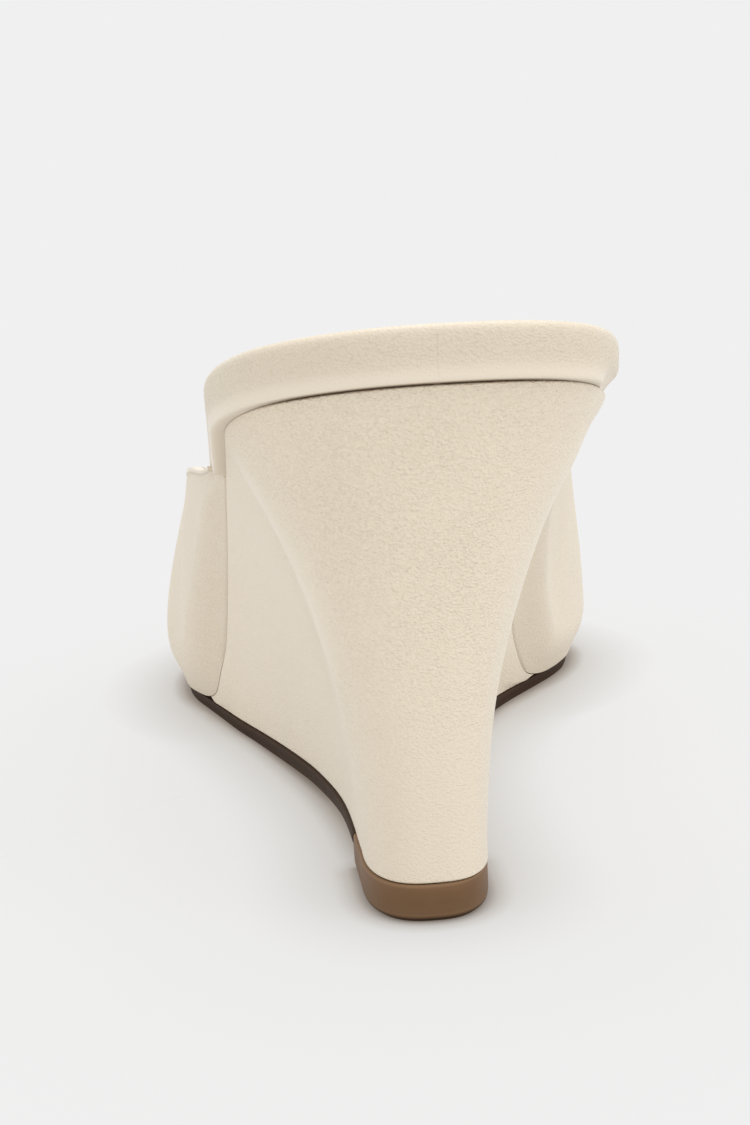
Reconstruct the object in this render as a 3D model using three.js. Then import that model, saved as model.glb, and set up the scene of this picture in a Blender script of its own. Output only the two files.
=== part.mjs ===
// Left wedge mule in millimetres: +Z up, +Y towards the toe, +X towards the inner side of the foot.
// It is built from y = 0 at the back of the insole and z = 0 on the floor, then centred on its own footprint.
import * as THREE from 'three';

// Length and widths in plan
const SHOE_LENGTH = 236; // back of the insole to the toe of the seam, measured level
const SEAT_OUTER = 26.2; // centre line to the seam where the heel seat is widest, outer side
const SEAT_INNER = 24.3; // the same, inner side
const SEAT_LENGTH = 34; // back of the insole to where the heel seat is widest
const BALL_OUTER = 39.5; // centre line to the seam at the ball, outer side
const BALL_INNER = 43.3; // the same, inner side
const TOE_LENGTH = 44; // the rounded end of the toe
const TOE_CENTRE = 5; // how far the toe swings towards the inner side

// Heights
const HEEL_RISE = 71; // floor to the seam at the back of the heel
const BALL_AT = 165; // where the seam comes down to the outsole
const INSOLE_HEEL = 7; // thickness of the wrapped insole under the heel
const INSOLE_BALL = 4.5; // thickness of the insole inside the upper
const OUTSOLE = 2.2; // thickness of the outsole under the ball
const OUTSOLE_WAIST = 1.6; // thickness of the outsole where it meets the heel tip
const TOE_SPRING = 5; // lift of the toe off the floor
const FLAT_FROM = 114; // the outsole lies on the floor from here
const FLAT_TO = 172; // to here
const WAIST_CURVE = 1.5; // how late the outsole rises from the ball to the heel tip, 1 is a straight rise

// Heel tip
const TIP_WIDTH = 17.5;
const TIP_HEIGHT = 5;
const TIP_FRONT = 36; // back of the insole to the front edge of the tip
const TIP_BACK = 11.2; // back of the insole to the back of the tip
const TIP_ROUND = 15.5; // length of the rounded back of the tip
const TIP_SHIFT = -2.7; // the tip stands a little to the outer side
const TIP_BEVEL = 0.7;

// Upper
const WALL = 1.8; // leather and lining together
const UPPER_REAR = 60; // where the topline leaves the insole's edge
const THROAT_AT = 165; // where the topline crosses the foot
const THROAT_HEIGHT = 46.2;
const CORNER_RISE = 2.2; // the topline's rear corners above the seam
const THROAT_CENTRE = 3;
const COLLAR_OUTER = 34.7; // widest half of the topline, outer side
const COLLAR_INNER = 39.5; // widest half of the topline, inner side
const BULGE = 9; // the most that the wall stands out past its lower edge
const FOOT_OUT = 0.35; // how the wall leaves its lower edge: share of the bulge
const FOOT_UP = 0.4; // and share of the way up to the widest point
const WIDEST_DOWN = 0.45; // how far below the widest point the wall turns upright, as a share of that way
const FULLNESS = 0.6; // how closely the ribs' curves fill their corners above the widest point

// Wedge
const SWEEP_BACK = 2.1; // how hollow the sides are at the heel, 1 is straight
const SWEEP_BALL = 1.2; // the same at the ball

// Edges and clearances
const INSOLE_LEDGE = 2.4; // the insole overhangs the wedge all round the heel
const UPPER_LEDGE = 0.8; // the upper stands proud of the wedge
const OUTSOLE_LEDGE = 0.5; // the outsole shows past the wedge
const OUTSOLE_TUCK = 0.5; // the outsole lies this far inside the seam under the ball and toe
const OUTSOLE_BEVEL = 0.4; // width of the bevel along the tread
const OUTSOLE_BEVEL_UP = 0.2; // its height, as a share of the outsole's thickness
const BOARD_SHOULDER = 1.4; // how far the insole's top edge rounds in, inside the upper
const TIP_LEDGE = 0.4; // the heel tip shows past the wedge
const WEDGE_END = 138; // the wedge runs out under the ball
const GAP = 0.3; // clearance between neighbouring pieces
const BOARD_GAP = 0.4; // clearance between the insole's edge and the inside of the upper

// Roundness of the plan outlines: 2 is an ellipse, higher is squarer
const SEAT_SQUARE_OUTER = 2.1;
const SEAT_SQUARE_INNER = 2.7;
const TIP_SQUARE = 2.6;
const TOE_SQUARE = 2.45;

// Plan outline between the widest point of the seat (at 0) and the start of the toe (at 1).
// outer and inner: the seam's half widths, as shares of the way from the seat's to the ball's.
// groundOuter and groundInner: the same for the outline on the ground, starting from the tip's.
const PLAN = [
  { at: 0.000, outer: 0.000, inner: 0.000, groundOuter: 0.000, groundInner: 0.000 },
  { at: 0.165, outer: 0.035, inner: -0.020, groundOuter: 0.038, groundInner: 0.010 },
  { at: 0.291, outer: 0.075, inner: -0.085, groundOuter: 0.145, groundInner: 0.030 },
  { at: 0.386, outer: 0.128, inner: -0.115, groundOuter: 0.275, groundInner: 0.090 },
  { at: 0.513, outer: 0.237, inner: -0.080, groundOuter: 0.485, groundInner: 0.250 },
  { at: 0.576, outer: 0.361, inner: 0.030, groundOuter: 0.610, groundInner: 0.370 },
  { at: 0.633, outer: 0.481, inner: 0.190, groundOuter: 0.715, groundInner: 0.510 },
  { at: 0.696, outer: 0.690, inner: 0.475, groundOuter: 0.835, groundInner: 0.690 },
  { at: 0.747, outer: 0.880, inner: 0.690, groundOuter: 0.930, groundInner: 0.830 },
  { at: 0.797, outer: 0.970, inner: 0.860, groundOuter: 0.985, groundInner: 0.930 },
  { at: 0.873, outer: 1.000, inner: 1.000, groundOuter: 1.000, groundInner: 1.000 },
  { at: 0.937, outer: 0.910, inner: 0.980, groundOuter: 0.955, groundInner: 0.990 },
  { at: 1.000, outer: 0.690, inner: 0.840, groundOuter: 0.850, groundInner: 0.925 },
];

// Side profile of the seam. at: share of BALL_AT, rise: share of the way from the outsole up to HEEL_RISE.
const PROFILE = [
  { at: 0.000, rise: 1.000 },
  { at: 0.091, rise: 0.958 },
  { at: 0.206, rise: 0.889 },
  { at: 0.303, rise: 0.818 },
  { at: 0.394, rise: 0.735 },
  { at: 0.485, rise: 0.618 },
  { at: 0.576, rise: 0.475 },
  { at: 0.636, rise: 0.361 },
  { at: 0.697, rise: 0.239 },
  { at: 0.758, rise: 0.123 },
  { at: 0.803, rise: 0.045 },
  { at: 0.836, rise: 0.015 },
  { at: 0.885, rise: 0.001 },
  { at: 1.000, rise: 0.000 },
];

// The upper's ribs, from the rear corner (first row) to the middle of the throat (last row).
// reach: share of the way from UPPER_REAR to THROAT_AT. outer, inner: shares of the collar's half widths.
// swellOuter, swellInner: shares of BULGE. widest: height of the widest point, as a share of the rib's.
// corner: where the upright wall and the slope to the topline would cross, as a share of the way up.
const RIBS = [
  { reach: 0.00, outer: 0.850, inner: 0.680, swellOuter: 0.24, swellInner: 0.24, widest: 0.60, corner: 0.50 },
  { reach: 0.14, outer: 0.900, inner: 0.710, swellOuter: 0.38, swellInner: 0.40, widest: 0.45, corner: 0.50 },
  { reach: 0.29, outer: 0.945, inner: 0.765, swellOuter: 0.52, swellInner: 0.60, widest: 0.36, corner: 0.48 },
  { reach: 0.48, outer: 0.985, inner: 0.870, swellOuter: 0.64, swellInner: 0.86, widest: 0.32, corner: 0.46 },
  { reach: 0.62, outer: 1.000, inner: 0.945, swellOuter: 0.56, swellInner: 0.64, widest: 0.29, corner: 0.45 },
  { reach: 0.75, outer: 0.968, inner: 1.000, swellOuter: 0.30, swellInner: 0.32, widest: 0.27, corner: 0.45 },
  { reach: 0.85, outer: 0.879, inner: 0.975, swellOuter: 0.26, swellInner: 0.33, widest: 0.26, corner: 0.42 },
  { reach: 0.93, outer: 0.692, inner: 0.840, swellOuter: 0.26, swellInner: 0.31, widest: 0.26, corner: 0.36 },
  { reach: 0.98, outer: 0.403, inner: 0.519, swellOuter: 0.26, swellInner: 0.28, widest: 0.26, corner: 0.28 },
  { reach: 1.00, outer: 0.000, inner: 0.000, swellOuter: 0.26, swellInner: 0.26, widest: 0.26, corner: 0.22 },
];

// Edge of the wrapped insole. out: share of INSOLE_LEDGE past the seam, up: share of the thickness.
const INSOLE_EDGE = [
  { out: 0.00, up: 0.00 },
  { out: 0.38, up: 0.04 },
  { out: 0.71, up: 0.14 },
  { out: 0.92, up: 0.29 },
  { out: 1.00, up: 0.48 },
  { out: 1.00, up: 0.76 },
  { out: 0.91, up: 0.90 },
  { out: 0.68, up: 0.975 },
  { out: 0.30, up: 1.00 },
];

// How finely the curves are divided
const SEAT_STEPS = 9;
const REAR_STEPS = 4;
const UPPER_SIDE_STEPS = 20;
const TOE_STEPS = 8;
const WEDGE_ROWS = 11;
const LOWER_ROWS = 4;
const SHOULDER_ROWS = 8;
const CORNERS_PER_MM = 2000; // corners closer together than one part are the same corner
const PLACE_STEP = 0.004; // a short way along an outline, in places, to read its direction
const TAPER_STEP = 0.02; // the same, to read how fast the sides narrow at the toe
const PLACE_MARGIN = 0.01; // a level of the wedge nearer to its end than this is left out
const HEIGHT_STEP = 0.5; // half the way along the shoe over which the seam's slope is read
const SETTLING_PASSES = 3; // rounds that settle the insole's edge against the wall's slope

const OUTER = -1;
const INNER = 1;
const TOE_FROM = SHOE_LENGTH - TOE_LENGTH;
const SEAM_GROUND = OUTSOLE + GAP;
const TUCK_LIMIT = 0.8; // the wall is at most WALL over this share thick, measured level
const UPPER_SIDE_SHARE = 0.75; // share of the ribs that stand along the sides, the rest fan round the toe
const THROAT_SHARE = 0.5; // from this rib on, the topline swings to THROAT_CENTRE

const { lerp, clamp, smoothstep } = THREE.MathUtils;

// The rows' values of one column, joined by a smooth curve
function curve(rows, along, column, position) {
  const last = rows.length - 1;
  let i = 0;
  while (i < last - 1 && position > rows[i + 1][along]) i++;
  const slope = (j) => {
    const a = rows[Math.max(j - 1, 0)];
    const b = rows[Math.min(j + 1, last)];
    return (b[column] - a[column]) / (b[along] - a[along]);
  };
  const width = rows[i + 1][along] - rows[i][along];
  const t = clamp((position - rows[i][along]) / width, 0, 1);
  const start = rows[i][column];
  const end = rows[i + 1][column];
  return (
    start * (2 * t - 3) * t * t + start +
    end * (3 - 2 * t) * t * t +
    slope(i) * width * t * (1 - t) * (1 - t) -
    slope(i + 1) * width * t * t * (1 - t)
  );
}

// Rib values by the rib's place, 0 at the rear corner and 1 at the throat
RIBS.forEach((rib, i) => (rib.place = i / (RIBS.length - 1)));
const ribValue = (column, place) => curve(RIBS, 'place', column, place);

// Heights along the shoe
const toeLift = (y) => TOE_SPRING * Math.max(0, (y - FLAT_TO) / (SHOE_LENGTH - FLAT_TO)) ** 2;

function seamHeight(y) {
  const rise = curve(PROFILE, 'at', 'rise', clamp(y / BALL_AT, 0, 1));
  return lerp(SEAM_GROUND, HEEL_RISE, rise) + toeLift(y);
}

// The upright distance that leaves GAP square to the seam's slope
function seamClearance(y) {
  const slope = (seamHeight(y + HEIGHT_STEP) - seamHeight(y - HEIGHT_STEP)) / (2 * HEIGHT_STEP);
  return GAP * Math.hypot(1, slope);
}

const waist = (y) => 1 - clamp((y - TIP_FRONT) / (FLAT_FROM - TIP_FRONT), 0, 1);
const outsoleTop = (y) => lerp(OUTSOLE, TIP_HEIGHT, waist(y)) + toeLift(y);
const outsoleBottom = (y) => (TIP_HEIGHT - OUTSOLE_WAIST) * waist(y) ** WAIST_CURVE + toeLift(y);
const insoleThickness = (y) => lerp(INSOLE_HEEL, INSOLE_BALL, smoothstep(y, UPPER_REAR, FLAT_FROM));
const toplineHeight = (y) =>
  lerp(
    seamHeight(UPPER_REAR) + CORNER_RISE,
    THROAT_HEIGHT,
    (y - UPPER_REAR) / (THROAT_AT - UPPER_REAR),
  );

// A quarter of a squared ellipse: how far across and how far along, both from 0 to 1
function quarter(share, square) {
  const angle = (share * Math.PI) / 2;
  return [Math.sin(angle) ** (2 / square), 1 - Math.cos(angle) ** (2 / square)];
}

// A place on an outline runs from -1 (middle of the back) to 0 (widest of the seat), 1 (toe start), 2 (toe tip)
function seamPoint(side, place) {
  const [column, half, ball, square] =
    side === OUTER
      ? ['outer', SEAT_OUTER, BALL_OUTER, SEAT_SQUARE_OUTER]
      : ['inner', SEAT_INNER, BALL_INNER, SEAT_SQUARE_INNER];
  if (place <= 0) {
    const [across, along] = quarter(place + 1, square);
    return new THREE.Vector2(side * half * across, lerp(INSOLE_LEDGE, SEAT_LENGTH, along));
  }
  return sideOrToe(side, place, SEAT_LENGTH, column, half, ball);
}

function groundPoint(side, place) {
  const half = TIP_WIDTH / 2 - TIP_LEDGE;
  const straight = TIP_BACK + TIP_ROUND;
  const [column, ball] = side === OUTER ? ['groundOuter', BALL_OUTER] : ['groundInner', BALL_INNER];
  if (place <= 0) {
    const [across, along] = quarter(place + 1, TIP_SQUARE);
    return new THREE.Vector2(TIP_SHIFT + side * half * across, lerp(TIP_BACK + TIP_LEDGE, straight, along));
  }
  return sideOrToe(side, place, straight, column, half + side * TIP_SHIFT, ball);
}

function sideOrToe(side, place, from, column, half, ball) {
  const width = (at) => side * lerp(half, ball, curve(PLAN, 'at', column, at));
  if (place <= 1) return new THREE.Vector2(width(place), lerp(from, TOE_FROM, place));
  const [along, across] = quarter(place - 1, TOE_SQUARE);
  const taper = (width(1) - width(1 - TAPER_STEP)) / (TAPER_STEP * (TOE_FROM - from));
  const straightOn = width(1) + taper * TOE_LENGTH * along;
  return new THREE.Vector2(lerp(straightOn, TOE_CENTRE, across), TOE_FROM + TOE_LENGTH * along);
}

// The level direction that points away from the shoe at a place of an outline
function outward(outline, side, place) {
  const ahead = outline(side, Math.min(place + PLACE_STEP, 2));
  const behind = outline(side, Math.max(place - PLACE_STEP, -1));
  const along = ahead.sub(behind).normalize();
  return new THREE.Vector2(side * along.y, -side * along.x);
}

function pushed(outline, side, place, distance) {
  return outline(side, place).addScaledVector(outward(outline, side, place), distance);
}

// Collects triangles between corners and shares the corners that meet
class Skin {
  constructor() {
    this.corners = [];
    this.faces = [];
    this.seen = new Map();
  }

  corner(point) {
    const key = [point.x, point.y, point.z].map((v) => Math.round(v * CORNERS_PER_MM)).join();
    if (!this.seen.has(key)) {
      this.seen.set(key, this.corners.length / 3);
      this.corners.push(point.x, point.y, point.z);
    }
    return this.seen.get(key);
  }

  triangle(a, b, c) {
    const [i, j, k] = [a, b, c].map((point) => this.corner(point));
    if (i !== j && j !== k && k !== i) this.faces.push(i, j, k);
  }

  quad(a, b, c, d) {
    this.triangle(a, b, c);
    this.triangle(a, c, d);
  }

  geometry() {
    const made = new THREE.BufferGeometry();
    made.setAttribute('position', new THREE.Float32BufferAttribute(this.corners, 3));
    made.setIndex(this.faces);
    made.computeVertexNormals();
    return made;
  }
}

// A solid between levels. point(side, place, row) gives its skin, places run from the back to the front.
function layered(places, rows, point) {
  const skin = new Skin();
  const grid = (side) => places.map((place) => rows.map((row) => point(side, place, row)));
  const outer = grid(OUTER);
  const inner = grid(INNER);
  const last = places.length - 1;
  const top = rows.length - 1;
  for (let i = 0; i < last; i++) {
    for (let j = 0; j < top; j++) {
      skin.quad(outer[i][j], outer[i][j + 1], outer[i + 1][j + 1], outer[i + 1][j]);
      skin.quad(inner[i][j], inner[i + 1][j], inner[i + 1][j + 1], inner[i][j + 1]);
    }
    skin.quad(outer[i][0], outer[i + 1][0], inner[i + 1][0], inner[i][0]);
    skin.quad(outer[i][top], inner[i][top], inner[i + 1][top], outer[i + 1][top]);
  }
  for (let j = 0; j < top; j++) {
    skin.quad(outer[0][j], inner[0][j], inner[0][j + 1], outer[0][j + 1]);
    skin.quad(outer[last][j], outer[last][j + 1], inner[last][j + 1], inner[last][j]);
  }
  return skin.geometry();
}

const steps = (from, to, count) => Array.from({ length: count + 1 }, (_, i) => lerp(from, to, i / count));
const seamPlace = (y) => (y - SEAT_LENGTH) / (TOE_FROM - SEAT_LENGTH);
const groundPlace = (y) => (y - TIP_BACK - TIP_ROUND) / (TOE_FROM - TIP_BACK - TIP_ROUND);
const REAR_PLACE = seamPlace(UPPER_REAR);
const SEAT_PLACES = steps(-1, 0, SEAT_STEPS);
const REAR_PLACES = steps(0, REAR_PLACE, REAR_STEPS).slice(1);
const UPPER_PLACES = steps(REAR_PLACE, 1, UPPER_SIDE_STEPS);
const TOE_PLACES = steps(1, 2, TOE_STEPS).slice(1);

// Covered wedge: its sides sweep in from the seam to the narrow outline on the ground
function wedge() {
  const end = seamPlace(WEDGE_END);
  const sides = UPPER_PLACES.slice(1).filter((place) => place < end - PLACE_MARGIN);
  const places = [...SEAT_PLACES, ...REAR_PLACES, ...sides, end];
  return layered(places, steps(0, 1, WEDGE_ROWS), (side, place, row) => {
    const ground = groundPoint(side, place);
    const seam = seamPoint(side, place);
    const sweep = row ** lerp(SWEEP_BACK, SWEEP_BALL, clamp(place, 0, 1));
    const plan = ground.lerp(seam, sweep);
    const bottom = outsoleTop(groundPoint(side, place).y) + GAP;
    const seamAt = seamPoint(side, place).y;
    const top = seamHeight(seamAt) - seamClearance(seamAt);
    return new THREE.Vector3(plan.x, plan.y, lerp(bottom, top, row));
  });
}

function heelTip() {
  const end = groundPlace(TIP_FRONT);
  const rows = [
    { out: TIP_LEDGE - TIP_BEVEL, z: 0 },
    { out: TIP_LEDGE, z: TIP_BEVEL },
    { out: TIP_LEDGE, z: TIP_HEIGHT },
  ];
  return layered([...SEAT_PLACES, end / 2, end], rows, (side, place, row) => {
    const plan = pushed(groundPoint, side, place, row.out);
    return new THREE.Vector3(plan.x, Math.min(plan.y, TIP_FRONT), row.z);
  });
}

function outsole() {
  const start = groundPlace(TIP_FRONT + GAP);
  const places = [start, ...REAR_PLACES, ...UPPER_PLACES.slice(1), ...TOE_PLACES];
  const rows = [
    { out: -OUTSOLE_BEVEL, up: 0 },
    { out: 0, up: OUTSOLE_BEVEL_UP },
    { out: 0, up: 1 },
  ];
  return layered(places.sort((a, b) => a - b), rows, (side, place, row) => {
    const tuck = smoothstep(groundPoint(side, place).y, FLAT_FROM, BALL_AT);
    const plan = pushed(groundPoint, side, place, lerp(OUTSOLE_LEDGE, -OUTSOLE_TUCK, tuck) + row.out);
    plan.y = Math.max(plan.y, TIP_FRONT + GAP);
    return new THREE.Vector3(plan.x, plan.y, lerp(outsoleBottom(plan.y), outsoleTop(plan.y), row.up));
  });
}

// One rib of the upper's outside, from its lower edge over its widest point to the topline
function rib(side, place) {
  const along = (place - REAR_PLACE) / (1 - REAR_PLACE);
  const share = place <= 1 ? along * UPPER_SIDE_SHARE : lerp(UPPER_SIDE_SHARE, 1, place - 1);
  const [column, swell, collar] =
    side === OUTER ? ['outer', 'swellOuter', COLLAR_OUTER] : ['inner', 'swellInner', COLLAR_INNER];
  const edge = pushed(seamPoint, side, place, UPPER_LEDGE);
  const away = outward(seamPoint, side, place);
  const out = new THREE.Vector3(away.x, away.y, 0);
  const reach = lerp(UPPER_REAR, THROAT_AT, ribValue('reach', share));
  const swing = THROAT_CENTRE * smoothstep(share, THROAT_SHARE, 1);
  const across = side * collar * ribValue(column, share) + swing;
  const top = new THREE.Vector3(across, reach, toplineHeight(reach));
  const foot = new THREE.Vector3(edge.x, edge.y, seamHeight(edge.y));
  const bulge = BULGE * ribValue(swell, share);
  const lift = (top.z - foot.z) * ribValue('widest', share);
  const raised = (from, distance, height) =>
    from.clone().addScaledVector(out, distance).setZ(from.z + height);
  const widest = raised(foot, bulge, lift);
  const corner = raised(widest, 0, (top.z - widest.z) * ribValue('corner', share));
  const lower = new THREE.CubicBezierCurve3(
    foot,
    raised(foot, bulge * FOOT_OUT, lift * FOOT_UP),
    raised(widest, 0, -lift * WIDEST_DOWN),
    widest,
  );
  const shoulder = new THREE.CubicBezierCurve3(
    widest,
    widest.clone().lerp(corner, FULLNESS),
    top.clone().lerp(corner, FULLNESS),
    top,
  );
  return { out, lower, shoulder };
}

// Points up a rib, moved in from its outside by a distance: level below the widest point, square above it
function ribPoints({ out, lower, shoulder }, inset) {
  const across = out.clone().cross(new THREE.Vector3(0, 0, 1));
  const moved = (curve, share) => {
    const inward = across.clone().cross(curve.getTangent(share)).normalize();
    const point = curve.getPoint(share);
    if (curve === lower) return point.addScaledVector(out, inset / Math.min(inward.dot(out), -TUCK_LIMIT));
    return point.addScaledVector(inward, inset);
  };
  return [
    ...steps(0, 1, LOWER_ROWS).map((share) => moved(lower, share)),
    ...steps(0, 1, SHOULDER_ROWS).slice(1).map((share) => moved(shoulder, share)),
  ];
}

// Upper: a wall that follows the ribs from the outer rear corner round the toe to the inner one
function upper() {
  const places = [...UPPER_PLACES, ...TOE_PLACES];
  const wallAt = (side) => (place) => {
    const shape = rib(side, place);
    return { outside: ribPoints(shape, 0), inside: ribPoints(shape, WALL) };
  };
  const ribs = [...places.map(wallAt(OUTER)), ...places.slice(0, -1).reverse().map(wallAt(INNER))];
  const skin = new Skin();
  const top = ribs[0].outside.length - 1;
  const wall = (a, b) => {
    for (let j = 0; j < top; j++) {
      skin.quad(a.outside[j], a.outside[j + 1], b.outside[j + 1], b.outside[j]);
      skin.quad(a.inside[j], b.inside[j], b.inside[j + 1], a.inside[j + 1]);
    }
    skin.quad(a.outside[0], b.outside[0], b.inside[0], a.inside[0]);
    skin.quad(a.outside[top], a.inside[top], b.inside[top], b.outside[top]);
  };
  ribs.slice(1).forEach((b, i) => wall(ribs[i], b));
  const [first, last] = [ribs[0], ribs[ribs.length - 1]];
  for (let j = 0; j < top; j++) {
    skin.quad(first.outside[j], first.inside[j], first.inside[j + 1], first.outside[j + 1]);
    skin.quad(last.outside[j], last.outside[j + 1], last.inside[j + 1], last.inside[j]);
  }
  return skin.geometry();
}

// The plan place of a rib's points at a height
function ribAt(points, height) {
  const above = Math.max(points.findIndex((point) => point.z > height), 1);
  const [low, high] = [points[above - 1], points[above]];
  const { x, y } = low.clone().lerp(high, clamp((height - low.z) / (high.z - low.z), 0, 1));
  return new THREE.Vector2(x, y);
}

// Edge of the insole inside the upper, kept clear of the upper's wall at every height
function boardPoint(side, place, row) {
  const r = rib(side, Math.max(place, REAR_PLACE));
  const wall = ribPoints(r, WALL + BOARD_GAP);
  const thickness = row.up * insoleThickness(wall[0].y);
  const shoulder = row.up > 0.5 ? BOARD_SHOULDER * (1 - row.out) : 0;
  let plan = new THREE.Vector2(wall[0].x, wall[0].y);
  for (let pass = 0; pass < SETTLING_PASSES; pass++) plan = ribAt(wall, seamHeight(plan.y) + thickness);
  plan.addScaledVector(r.out, -shoulder);
  return new THREE.Vector3(plan.x, plan.y, seamHeight(plan.y) + thickness);
}

function bandPoint(side, place, row) {
  const plan = pushed(seamPoint, side, place, INSOLE_LEDGE * row.out);
  return new THREE.Vector3(plan.x, plan.y, seamHeight(plan.y) + row.up * insoleThickness(plan.y));
}

// Insole: a wrapped band with round edges behind the upper, a plain board that fits inside it in front
function insole() {
  const bandEnd = seamPlace(UPPER_REAR - 2 * GAP);
  const band = [...SEAT_PLACES, ...REAR_PLACES.slice(0, -1), bandEnd].map((at) => [bandPoint, at]);
  const board = [bandEnd, ...UPPER_PLACES, ...TOE_PLACES].map((at) => [boardPoint, at]);
  return layered([...band, ...board], INSOLE_EDGE, (side, [edgePoint, at], row) => edgePoint(side, at, row));
}

const leather = { color: 0xe2d6c0, roughness: 0.55, metalness: 0 };
const PIECES = {
  upper: [upper(), leather],
  insole: [insole(), leather],
  wedge: [wedge(), leather],
  outsole: [outsole(), { color: 0x4e3a2c, roughness: 0.7, metalness: 0 }],
  heel_tip: [heelTip(), { color: 0x745842, roughness: 0.6, metalness: 0 }],
};

const mule = new THREE.Group();
for (const [name, [geometry, look]] of Object.entries(PIECES)) {
  const mesh = new THREE.Mesh(geometry, new THREE.MeshStandardMaterial(look));
  mesh.name = name;
  mule.add(mesh);
}

const box = new THREE.Box3().setFromObject(mule);
const middle = box.getCenter(new THREE.Vector3());
mule.position.set(-middle.x, -middle.y, -box.min.z);

export default mule;
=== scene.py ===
"""Left wedge mule in cream leather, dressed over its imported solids.

Everything is in metres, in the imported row's frame: +Z up, +Y towards the toe and +X towards the inner side
of the foot. A place says where a point lies along an outline: -1 in the middle of the back, 0 at the widest
of the heel seat, 1 at the start of the toe and 2 at its tip.
"""

import bisect
import math

import bmesh
import bpy
from bpy.props import FloatProperty, FloatVectorProperty, PointerProperty
from bpy.types import Operator, Panel, PropertyGroup
from mathutils import Matrix, Vector


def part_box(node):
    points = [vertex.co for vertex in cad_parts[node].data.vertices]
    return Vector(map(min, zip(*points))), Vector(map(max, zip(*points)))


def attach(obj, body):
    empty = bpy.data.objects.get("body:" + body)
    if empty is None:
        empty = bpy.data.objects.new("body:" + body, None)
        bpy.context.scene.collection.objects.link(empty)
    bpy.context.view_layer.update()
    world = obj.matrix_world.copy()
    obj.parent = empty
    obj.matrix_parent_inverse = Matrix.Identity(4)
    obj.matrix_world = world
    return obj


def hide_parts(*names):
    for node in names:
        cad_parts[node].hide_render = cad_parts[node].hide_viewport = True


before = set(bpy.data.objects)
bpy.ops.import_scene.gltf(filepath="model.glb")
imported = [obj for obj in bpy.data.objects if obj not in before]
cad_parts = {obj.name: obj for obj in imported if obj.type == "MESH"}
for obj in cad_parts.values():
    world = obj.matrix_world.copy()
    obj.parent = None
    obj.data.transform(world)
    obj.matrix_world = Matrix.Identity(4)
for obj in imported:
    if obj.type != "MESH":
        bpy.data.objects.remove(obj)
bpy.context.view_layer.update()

bl_info = {
    "name": "Wedge Mule",
    "version": (1, 0, 0),
    "blender": (4, 5, 0),
    "location": "3D View > Sidebar > Mule",
    "description": "Builds a leather mule on a covered wedge heel, piece by piece",
    "category": "Add Mesh",
}

MM = 0.001
OUTER = -1
INNER = 1

INSOLE_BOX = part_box("insole")
OUTSOLE_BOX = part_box("outsole")
TIP_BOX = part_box("heel_tip")

# Plan outline between the widest point of the seat (at 0) and the start of the toe (at 1).
# outer and inner: the seam's half widths, as shares of the way from the seat's to the ball's.
# ground_outer and ground_inner: the same for the outline on the ground, starting from the tip's.
PLAN = {
    "at": (0.0, 0.165, 0.291, 0.386, 0.513, 0.576, 0.633, 0.696, 0.747, 0.797, 0.873, 0.937, 1.0),
    "outer": (0.0, 0.035, 0.075, 0.128, 0.237, 0.361, 0.481, 0.690, 0.880, 0.970, 1.0, 0.910, 0.690),
    "inner": (0.0, -0.020, -0.085, -0.115, -0.080, 0.030, 0.190, 0.475, 0.690, 0.860, 1.0, 0.980, 0.840),
    "ground_outer": (0.0, 0.038, 0.145, 0.275, 0.485, 0.610, 0.715, 0.835, 0.930, 0.985, 1.0, 0.955, 0.850),
    "ground_inner": (0.0, 0.010, 0.030, 0.090, 0.250, 0.370, 0.510, 0.690, 0.830, 0.930, 1.0, 0.990, 0.925),
}

# Side profile of the seam. at: share of the way to the ball, rise: share of the heel's rise.
PROFILE = {
    "at": (0.0, 0.091, 0.206, 0.303, 0.394, 0.485, 0.576, 0.636, 0.697, 0.758, 0.803, 0.836, 0.885, 1.0),
    "rise": (1.0, 0.958, 0.889, 0.818, 0.735, 0.618, 0.475, 0.361, 0.239, 0.123, 0.045, 0.015, 0.001, 0.0),
}

# The upper's ribs, from the rear corner (0) to the middle of the throat (1).
# reach: share of the topline's length. outer, inner: shares of the collar's half widths.
# swell_...: shares of the bulge.
# widest_...: height of the widest point, as a share of the rib's.
# corner_...: where the upright wall and the slope to the topline would cross, as a share of the way up.
RIBS = {
    "at": tuple(i / 9 for i in range(10)),
    "reach": (0.0, 0.14, 0.29, 0.48, 0.62, 0.75, 0.85, 0.93, 0.98, 1.0),
    "outer": (0.850, 0.900, 0.945, 0.985, 1.0, 0.968, 0.879, 0.692, 0.403, 0.0),
    "inner": (0.640, 0.695, 0.765, 0.870, 0.945, 1.0, 0.975, 0.840, 0.519, 0.0),
    "swell_outer": (0.06, 0.40, 0.55, 0.69, 0.60, 0.36, 0.28, 0.26, 0.26, 0.26),
    "swell_inner": (0.05, 0.44, 0.65, 0.78, 0.66, 0.40, 0.34, 0.31, 0.28, 0.26),
    "widest_outer": (0.59, 0.44, 0.35, 0.295, 0.25, 0.24, 0.25, 0.26, 0.26, 0.26),
    "widest_inner": (0.58, 0.43, 0.32, 0.26, 0.21, 0.20, 0.23, 0.26, 0.26, 0.26),
    "corner_outer": (0.49, 0.48, 0.45, 0.41, 0.37, 0.36, 0.36, 0.34, 0.28, 0.22),
    "corner_inner": (0.50, 0.51, 0.50, 0.49, 0.48, 0.46, 0.42, 0.36, 0.28, 0.22),
}

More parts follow.
